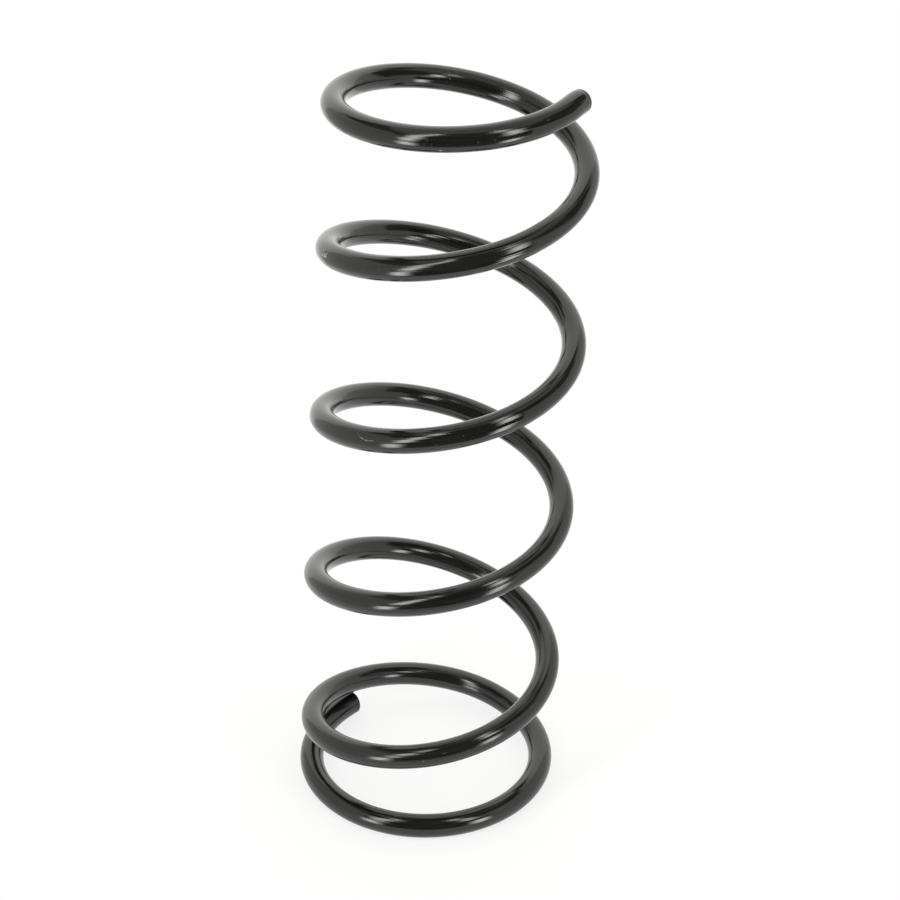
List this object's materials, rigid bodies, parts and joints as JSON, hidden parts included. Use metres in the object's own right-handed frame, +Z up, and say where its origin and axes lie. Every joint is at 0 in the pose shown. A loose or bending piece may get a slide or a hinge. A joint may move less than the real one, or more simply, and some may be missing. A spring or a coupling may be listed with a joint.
{
  "type": "suspension spring",
  "caption": "Tall open coil spring of round bar, right-handed, with a flat closed foot turn, square-cut ends and a gloss black coating.",
  "frame": {"origin": "centre of the flat foot turn, on the plane that the spring stands on", "axes": "+Z up from that plane; the foot turn lies round it and the body of the coil leans 4.6 degrees from it, towards 51 degrees from +X"},
  "size_m": [0.1503, 0.1554, 0.395],
  "materials": {
    "black_coating": "gloss"
  },
  "bodies": {
    "root": {"spring": "black_coating"}
  },
  "joints": []
}
